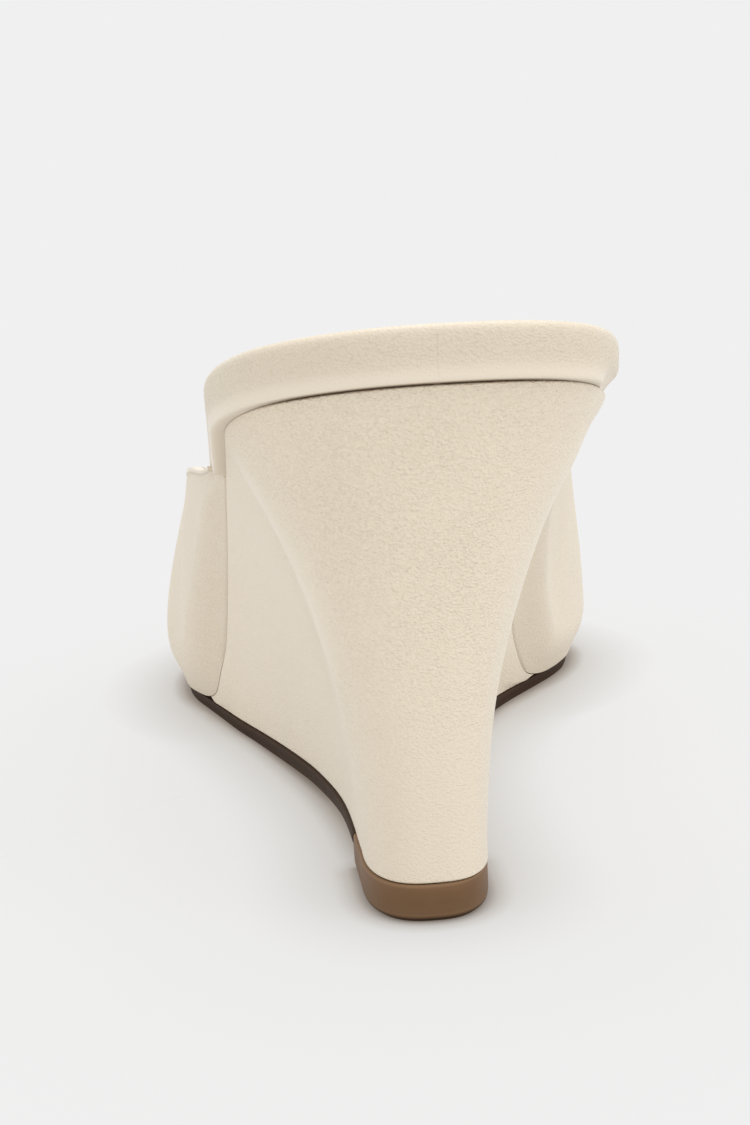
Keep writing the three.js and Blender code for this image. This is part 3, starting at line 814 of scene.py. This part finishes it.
class MULE_OT_wedge(Operator):
    """Adds the wedge, covered with leather that sweeps in from the seam to the narrow foot"""

    bl_idname = "mule.wedge"
    bl_label = "Covered wedge"

    ROWS = 60
    FINE_ROWS = (0.0, 0.0015, 0.003, 0.005, 0.009, 0.015, 0.025)
    BACK_PLACES, SIDE_PLACES = 60, 80
    # Depth of the grain, and how much lighter this piece's copy of the leather is painted, as painted light
    GRAIN_DEPTH, SHADE = 1.5, 1.07
    SEAM_GAP = 0.06 * MM
    # How hollow the sides are at the heel and at the ball, 1 is straight
    SWEEP_BACK, SWEEP_BALL = 2.1, 1.2
    # The edges tuck in by no more than this share of the height
    MOST_TUCK = 0.4
    RIDGE_HALF = 5.2 * MM
    TUCK = 0.3 * MM
    TUCK_REACH = 0.12 * MM
    # How far the cover swells out under the footbed, in millimetres, by place
    FLARE = {
        "at": (-1.0, -0.7, -0.45, -0.3, -0.2, -0.1, 0.0, 0.05, 0.1, 0.165, 0.25, 0.4, 0.6, 1.0),
        "outer": (0.45, 0.42, 0.2, 0.08, 0.06, 0.05, 0.05, 0.08, 0.1, 0.18, 0.3, 0.3, 0.3, 0.3),
        "inner": (0.45, 0.42, 0.34, 0.32, 0.45, 0.55, 0.9, 1.3, 1.55, 1.4, 1.15, 0.8, 0.74, 0.74),
    }
    FLARE_REACH = 6 * MM
    # The inner side's soft swelling: how far out, how far below the seam, at which place, and its half sizes
    BELLY = 0.55 * MM
    BELLY_DEPTH, BELLY_HALF = 8 * MM, 5 * MM
    BELLY_PLACE, BELLY_SPREAD = -0.2, 0.16
    FOOT_FLARE = {OUTER: 0.0, INNER: 0.3 * MM}

    def point(self, last, side, place, row):
        ground, seam = last.ground(side, place), last.seam(side, place)
        sweep = row ** lerp(self.SWEEP_BACK, self.SWEEP_BALL, clamp(place))
        bottom = last.outsole_top(ground.y) + self.SEAM_GAP
        top = last.seam_height(seam.y) - self.SEAM_GAP
        height = top - bottom
        plan = ground.lerp(seam, sweep)
        out = last.outward(last.seam if row > 0.5 else last.ground, side, place)
        tuck = seam_fade(side, place) * bump((1 - row) * height, 0, self.TUCK_REACH)
        tuck += bump(row * height, 0, self.TUCK_REACH)
        push = self.flare(last, side, place, row, (1 - row) * height)
        push -= min(tuck * self.TUCK, height * self.MOST_TUCK)
        plan = plan + out * (push + last.sizes.ridge * self.ridge(last, side, plan.y, row))
        return Vector((plan.x, plan.y, lerp(bottom, top, row)))

    def flare(self, last, side, place, row, depth):
        """How far the cover swells out under the footbed, most at the inner corner."""
        amount = curve(self.FLARE, "at", last.SEAM[side], place) * MM
        under_seam = amount * (1 - smoothstep(depth, 0, self.FLARE_REACH)) * smoothstep(row, 0, 0.5)
        along = smoothstep(place, -1, -0.6) * (1 - smoothstep(place, -0.2, 0.3))
        at_foot = self.FOOT_FLARE[side] * along * (1 - smoothstep(row, 0, 0.5))
        if side == OUTER:
            return under_seam + at_foot
        belly = self.BELLY * bump(depth, self.BELLY_DEPTH, self.BELLY_HALF)
        return under_seam + at_foot + belly * bump(place, self.BELLY_PLACE, self.BELLY_SPREAD)

    def ridge(self, last, side, y, row):
        """The soft ridges where the back turns into the sides, faint towards the seam."""
        along = curve(RIDGE, "up", last.SEAM[side], row) * last.SEAT_LENGTH
        fade = smoothstep(row, 0.02, 0.2) * (1 - smoothstep(row, 0.88, 1.0))
        return fade * bump(y, along, self.RIDGE_HALF)

    def rows(self):
        fine = self.FINE_ROWS
        return [*fine, *steps(0.04, 0.96, self.ROWS), *[1 - f for f in fine[::-1]]]

    def painted_shade(self, side, place, row, height):
        """Painted shade in the seam and along the foot, and a little darker low on the back."""
        in_seam = seam_fade(side, place) * bump((1 - row) * height, 0, self.TUCK_REACH)
        at_foot = 0.5 * bump(row * height, 0, self.TUCK_REACH)
        low = 0.09 * (1 - smoothstep(row, 0.05, 0.6)) * (1 - smoothstep(place, -0.2, 0.2))
        return in_seam + at_foot + low

    def pulled_and_highlit(self, last, side, place, row, y):
        """The leather is stretched smooth over the ridges, low down and along the sides, and painted lighter
        there as a highlight.
        """
        beside = 0.6 * smoothstep(place, -0.05, 0.25)
        if side == INNER:
            beside = max(beside, 0.4 * smoothstep(place, -0.9, -0.3))
        return max(0.8 * self.ridge(last, side, y, row), 0.7 * (1 - smoothstep(row, 0.05, 0.65)), beside)

    def execute(self, context):
        sizes, colours = context.scene.mule_sizes, context.scene.mule_colours
        last = Last(sizes)
        end = last.seam_place(last.WEDGE_END)
        rows = self.rows()
        rings, masks = [], {"painted_shade": [], "pulled_and_highlit": []}
        for place in [*steps(-1, 0, self.BACK_PLACES), *steps(0, end, self.SIDE_PLACES)[1:]]:
            ring, painted_shade, pulled_and_highlit = [], [], []
            for side, order in ((OUTER, 1), (INNER, -1)):
                points = [self.point(last, side, place, row) for row in rows]
                height = points[-1].z - points[0].z
                ring += points[::order]
                painted_shade += [self.painted_shade(side, place, row, height) for row in rows][::order]
                stretched = [self.pulled_and_highlit(last, side, place, row, at.y) for at, row in zip(points, rows)]
                pulled_and_highlit += stretched[::order]
            rings.append([last.to_row(point) for point in ring])
            masks["painted_shade"].append(painted_shade)
            masks["pulled_and_highlit"].append(pulled_and_highlit)
        material = leather("wedge_leather", colours.leather, sizes.grain, self.GRAIN_DEPTH, self.SHADE)
        skin = Piece("wedge_cover", "wedge", "wedge_leather", material)
        skin.rings([*rings, pinched(rings[-1])], {name: [*rows, rows[-1]] for name, rows in masks.items()})
        skin.finish(sharp=60)
        return {"FINISHED"}


class MULE_OT_upper(Operator):
    """Adds the upper, lasted down to the seam, with a folded topline and a smooth lining"""

    bl_idname = "mule.upper"
    bl_label = "Upper"

    LOWER_ROWS = 14
    SHOULDER_ROWS = 34
    FOLD_ROWS = 18
    RIM_ROWS = 7
    SIDE_PLACES, TOE_PLACES = 96, 56
    # Depth of the grain, and how much darker this piece's copy of the leather is painted, a little, as painted
    # shade
    GRAIN_DEPTH, SHADE = 0.6, 0.975
    # The rows are close together over this many widths of the fold
    FINE_REACH = 1.9
    MOST_FINE = 0.7
    FOLD_PROUD = 0.12 * MM
    FOLD_GROOVE = 0.1 * MM
    # The painted shade at the rear corner, by place
    CORNER_SHADE_HALF = 0.012

    def heights(self, last, lower, shoulder):
        """The rows up one rib, each a curve and a share of it, closer together in the folded edge."""
        length = (shoulder[3] - shoulder[0]).length
        fine = clamp(last.sizes.fold * self.FINE_REACH / max(length, 1e-6), 0, self.MOST_FINE)
        shares = [*steps(0, 1 - fine, self.SHOULDER_ROWS)[1:], *steps(1 - fine, 1, self.FOLD_ROWS)[1:]]
        rows = [(lower, share) for share in steps(0, 1, self.LOWER_ROWS)]
        return rows + [(shoulder, share) for share in shares]

    def ring(self, last, side, place):
        out, lower, shoulder = last.rib(side, place)
        across = out.cross(Vector((0, 0, 1)))
        wall = last.wall_at(last.seam(side, place).y)
        outside, inside = [], []
        for curve_points, share in self.heights(last, lower, shoulder):
            point, direction = bezier(curve_points, share)
            inward = across.cross(direction).normalized()
            from_top = (point - shoulder[3]).length
            raised = self.folded(last, from_top)
            outside.append(point - inward * raised)
            if curve_points is lower:
                inside.append(point + out * (wall / min(inward.dot(out), -last.LEAST_UPRIGHT)))
            else:
                inside.append(point + inward * wall)
        rim = self.rim(outside[-1], inside[-1], shoulder)
        return [last.to_row(p) for p in outside[:-1] + rim + inside[:-1][::-1]]

    def folded(self, last, from_top):
        """The folded edge stands a little proud above a shallow line."""
        fold = last.sizes.fold
        proud = self.FOLD_PROUD * (1 - smoothstep(from_top, fold * 0.9, fold * 1.15))
        groove = self.FOLD_GROOVE * bump(from_top, fold * 1.05, fold * 0.13)
        return proud - groove

    def rim(self, start, end, shoulder):
        """The rounded top of the wall."""
        centre = (start + end) / 2
        side = (start - end) / 2
        up = bezier(shoulder, 1)[1] * side.length
        angles = steps(0, math.pi, self.RIM_ROWS)
        return [centre + side * math.cos(angle) + up * (math.sin(angle) - 1) for angle in angles]

    def execute(self, context):
        sizes, colours = context.scene.mule_sizes, context.scene.mule_colours
        last = Last(sizes)
        places = [*steps(last.rear_place, 1, self.SIDE_PLACES), *steps(1, 2, self.TOE_PLACES)[1:]]
        rings = [self.ring(last, OUTER, place) for place in places]
        rings += [self.ring(last, INNER, place) for place in places[-2::-1]]
        outside_rows = self.LOWER_ROWS + 1 + self.SHOULDER_ROWS + self.FOLD_ROWS
        # Painted shade at the rear corners, where the band's end meets the upper
        corner_shades = [0, *(bump(place, last.rear_place, self.CORNER_SHADE_HALF) for place in places), *[0] * len(places)]
        columns = range(len(rings[0]))
        # Painted shade along the foot and in the groove under the folded edge
        along = [0.08 * bump(j, 0, 1.2) + 0.3 * bump(j, outside_rows - 7, 1.2) for j in columns]
        painted_shade = [[column_shade + 0.15 * corner_shade for column_shade in along] for corner_shade in corner_shades]
        # The folded edge is stretched smooth and painted lighter as a highlight
        pulled_and_highlit = [0.8 * smoothstep(j, outside_rows - 6, outside_rows - 3) for j in columns]
        lined = [int(j > outside_rows + self.RIM_ROWS // 2) for j in columns]
        masks = {"painted_shade": painted_shade, "pulled_and_highlit": [pulled_and_highlit] * len(corner_shades)}
        outside = leather("upper_leather", colours.leather, sizes.grain, self.GRAIN_DEPTH, self.SHADE)
        inside = lining("upper_lining", colours.lining, sizes.grain)
        skin = Piece("upper_leather", "upper", "upper_leather", outside, inside)
        skin.rings([pinched(rings[0]), *rings, pinched(rings[-1])], masks, lined)
        skin.finish(sharp=55)
        return {"FINISHED"}


class MULE_OT_outsole(Slab, Operator):
    """Adds the thin outsole, from the front of the heel tip to the toe"""

    bl_idname = "mule.outsole"
    bl_label = "Outsole"

    LEDGE = 0.5 * MM
    EDGE = (
        *((-0.9, 0.0), (-0.35, 0.0), (-0.12, 0.07), (0.0, 0.2)),
        *((0.02, 0.5), (0.0, 0.82), (-0.1, 0.95), (-0.3, 1.0)),
    )
    # The first paints a highlight along the top and the lower rounding, the second paints shade along the
    # bottom where it meets the floor
    MASKS = {
        "edge": lambda up: 0.5 * bump(up, 0.95, 0.12) + 0.4 * bump(up, 0.2, 0.1),
        "painted_shade": lambda up: 0.8 * bump(up, 0, 0.06),
    }
    ACROSS = 8
    SIDE_PLACES, TOE_PLACES = 90, 44
    # Colour of the painted edge highlight
    EDGE_HIGHLIGHT = (0.09, 0.05, 0.03)
    ROUGHNESS, GLOSS = 0.5, 0.1

    def point(self, last, side, place, out, up):
        tuck = smoothstep(last.ground(side, place).y, last.FLAT_FROM, last.BALL_AT)
        push = lerp(self.LEDGE, -last.OUTSOLE_TUCK, tuck) + out * MM
        plan = last.pushed(last.ground, side, place, push)
        plan.y = max(plan.y, last.TIP_FRONT + last.GAP)
        return Vector((plan.x, plan.y, lerp(last.outsole_bottom(plan.y), last.outsole_top(plan.y), up)))

    def execute(self, context):
        last = Last(context.scene.mule_sizes)
        start = last.ground_place(last.TIP_FRONT + last.GAP)
        places = [*steps(start, 1, self.SIDE_PLACES), *steps(1, 2, self.TOE_PLACES)[1:]]
        rings = [self.ring(last, place) for place in places]
        rings = [pinched(rings[0]), *rings, pinched(rings[-1])]
        self.build(rings, "outsole_rubber", "outsole", context.scene.mule_colours.sole)
        return {"FINISHED"}


class MULE_OT_heel_tip(Slab, Operator):
    """Adds the small rubber tip under the back of the wedge"""

    bl_idname = "mule.heel_tip"
    bl_label = "Heel tip"

    LEDGE = {OUTER: Last.TIP_LEDGE, INNER: 0.15 * MM}
    EDGE = (
        *((-1.6, 0.0), (-0.75, 0.0), (-0.6, 0.012), (-0.5, 0.04), (-0.28, 0.06)),
        *((-0.16, 0.085), (-0.06, 0.14), (-0.01, 0.19), (0.0, 0.25), (0.02, 0.5)),
        *((0.02, 0.8), (0.0, 0.92), (-0.12, 0.985), (-0.35, 1.0), (-0.8, 1.0)),
    )
    # The first paints a highlight along the top rim and the lower bevel; the second paints shade at the bottom
    # edge where it meets the floor, and a little darker down the side
    MASKS = {
        "edge": lambda up: 0.9 * bump(up, 0.985, 0.045) + 0.6 * bump(up, 0.2, 0.05),
        "painted_shade": lambda up: max(1 - smoothstep(up, 0.09, 0.17), 0.2 * (1 - smoothstep(up, 0.1, 0.9))),
    }
    ACROSS = 6
    BACK_PLACES, SIDE_PLACES = 60, 12
    # Colour of the painted edge highlight
    EDGE_HIGHLIGHT = (0.29, 0.175, 0.095)
    ROUGHNESS, GLOSS = 0.42, 0.22

    def point(self, last, side, place, out, up):
        ledge = lerp(self.LEDGE[OUTER], self.LEDGE[side], smoothstep(place, -1, -0.5))
        plan = last.pushed(last.ground, side, place, ledge + out * MM)
        plan.y = min(plan.y, last.TIP_FRONT)
        return Vector((plan.x, plan.y, last.TIP_HEIGHT * up))

    def execute(self, context):
        last = Last(context.scene.mule_sizes)
        end = last.ground_place(last.TIP_FRONT)
        places = [*steps(-1, 0, self.BACK_PLACES), *steps(0, end, self.SIDE_PLACES)[1:]]
        rings = [self.ring(last, place) for place in places]
        self.build([*rings, pinched(rings[-1])], "heel_tip_rubber", "heel_tip", context.scene.mule_colours.tip)
        return {"FINISHED"}


class MULE_OT_stage(Operator):
    """Sets up the pale studio: floor, light and camera"""

    bl_idname = "mule.stage"
    bl_label = "Studio"

    FLOOR_HALF = 30.0
    FLOOR_ALBEDO = 0.18
    # Shade under the shoe: how far it reaches, how sharply it sets in, and its tint
    SHADES = (
        (18 * MM, 1.0, (0.56, 0.50, 0.42)),
        (4 * MM, 2.0, (0.6, 0.55, 0.5)),
        (1.5 * MM, 2.0, (0.72, 0.7, 0.7)),
    )
    SHADE_SAMPLES = 8
    # Each light: strength, softness, height above the floor, and its turn from the camera towards the right
    LIGHTS = {
        "key": (0.55, math.radians(40), math.radians(48), math.radians(50)),
        "overhead": (0.8, math.radians(45), math.radians(76), math.radians(170)),
    }
    EYE = (-22.36 * MM, -212.04 * MM, 82.52 * MM)
    YAW, PITCH, ROLL = 0.064, 0.154, -0.055
    FOCAL = 1799
    PHOTO_HEIGHT = 1125
    SENSOR = 36.0
    CLIP_START = 10 * MM

    def floor(self, colour):
        """A softly glowing floor as bright as the backdrop, so that no horizon shows."""
        direct = sum(strength * math.sin(height) / math.pi for strength, _, height, _ in self.LIGHTS.values())
        glow = [c - self.FLOOR_ALBEDO * (c + direct) for c in colour]
        recipe = Recipe("studio_floor", Specular_IOR_Level=0.0, Roughness=1.0, Emission_Strength=1.0)
        for reach, onset, tint in self.SHADES:
            settings = {"samples": self.SHADE_SAMPLES}
            open_sky = recipe.node("ShaderNodeAmbientOcclusion", settings, {"Distance": reach}, output="AO")
            shaded = (1 - (1 - open_sky) * onset).clamped()
            glow = recipe.mix(1.0, glow, recipe.mix(shaded, tint, (1.0, 1.0, 1.0)), "MULTIPLY")
        recipe.feeds(Base_Color=(self.FLOOR_ALBEDO,) * 3, Emission_Color=glow)
        data = bpy.data.meshes.new("studio_floor")
        half = self.FLOOR_HALF
        corners = [(-half, -half, 0), (half, -half, 0), (half, half, 0), (-half, half, 0)]
        data.from_pydata(corners, [], [(0, 1, 2, 3)])
        data.materials.append(recipe.material)
        floor = bpy.data.objects.new("studio_floor", data)
        bpy.context.scene.collection.objects.link(floor)

    def light(self, scene, colour):
        world = bpy.data.worlds.new("studio")
        world.use_nodes = True
        world.node_tree.nodes["Background"].inputs["Color"].default_value = (*colour, 1)
        scene.world = world
        for name, (strength, softness, height, turn) in self.LIGHTS.items():
            sun = bpy.data.lights.new(name, "SUN")
            sun.energy = strength
            sun.angle = softness
            lamp = bpy.data.objects.new(name, sun)
            across = math.cos(height)
            towards = Vector((across * math.sin(turn), -across * math.cos(turn), math.sin(height)))
            lamp.rotation_euler = towards.to_track_quat("Z", "Y").to_euler()
            scene.collection.objects.link(lamp)

    def camera(self, scene, last):
        """A camera where the photograph was taken from."""
        data = bpy.data.cameras.new("camera")
        data.sensor_width = self.SENSOR
        data.lens = self.SENSOR * self.FOCAL / self.PHOTO_HEIGHT
        data.clip_start = self.CLIP_START
        camera = bpy.data.objects.new("camera", data)
        flat = math.cos(self.PITCH)
        ahead = Vector((math.sin(self.YAW) * flat, math.cos(self.YAW) * flat, -math.sin(self.PITCH)))
        level = Vector((math.cos(self.YAW), -math.sin(self.YAW), 0))
        above = level.cross(ahead)
        right = level * math.cos(self.ROLL) + above * math.sin(self.ROLL)
        up = above * math.cos(self.ROLL) - level * math.sin(self.ROLL)
        turn = Matrix((right, up, -ahead)).transposed().to_4x4()
        camera.matrix_world = Matrix.Translation(last.to_row(Vector(self.EYE))) @ turn
        scene.collection.objects.link(camera)
        scene.camera = camera

    def execute(self, context):
        scene = context.scene
        scene.view_settings.view_transform = "Standard"
        colour = scene.mule_colours.studio
        self.floor(colour)
        self.light(scene, colour)
        self.camera(scene, Last(scene.mule_sizes))
        return {"FINISHED"}


class VIEW3D_PT_mule(Panel):
    """Lists the mule's pieces, sizes and colours"""

    bl_label = "Wedge Mule"
    bl_idname = "VIEW3D_PT_mule"
    bl_space_type = "VIEW_3D"
    bl_region_type = "UI"
    bl_category = "Mule"

    def draw(self, context):
        layout = self.layout
        for group in (context.scene.mule_sizes, context.scene.mule_colours):
            box = layout.box()
            for name in group.bl_rna.properties.keys():
                if name not in ("rna_type", "name"):
                    box.prop(group, name)
        for operator in OPERATORS:
            layout.operator(operator.bl_idname)


GROUPS = (MuleSizes, MuleColours)
OPERATORS = (MULE_OT_footbed, MULE_OT_wedge, MULE_OT_upper, MULE_OT_outsole, MULE_OT_heel_tip, MULE_OT_stage)
CLASSES = (*GROUPS, *OPERATORS, VIEW3D_PT_mule)


def register():
    for each in CLASSES:
        bpy.utils.register_class(each)
    bpy.types.Scene.mule_sizes = PointerProperty(type=MuleSizes)
    bpy.types.Scene.mule_colours = PointerProperty(type=MuleColours)


def unregister():
    del bpy.types.Scene.mule_colours
    del bpy.types.Scene.mule_sizes
    for each in reversed(CLASSES):
        bpy.utils.unregister_class(each)


def main():
    register()
    bpy.ops.mule.footbed()
    bpy.ops.mule.wedge()
    bpy.ops.mule.upper()
    bpy.ops.mule.outsole()
    bpy.ops.mule.heel_tip()
    bpy.ops.mule.stage()


if __name__ == "__main__":
    main()
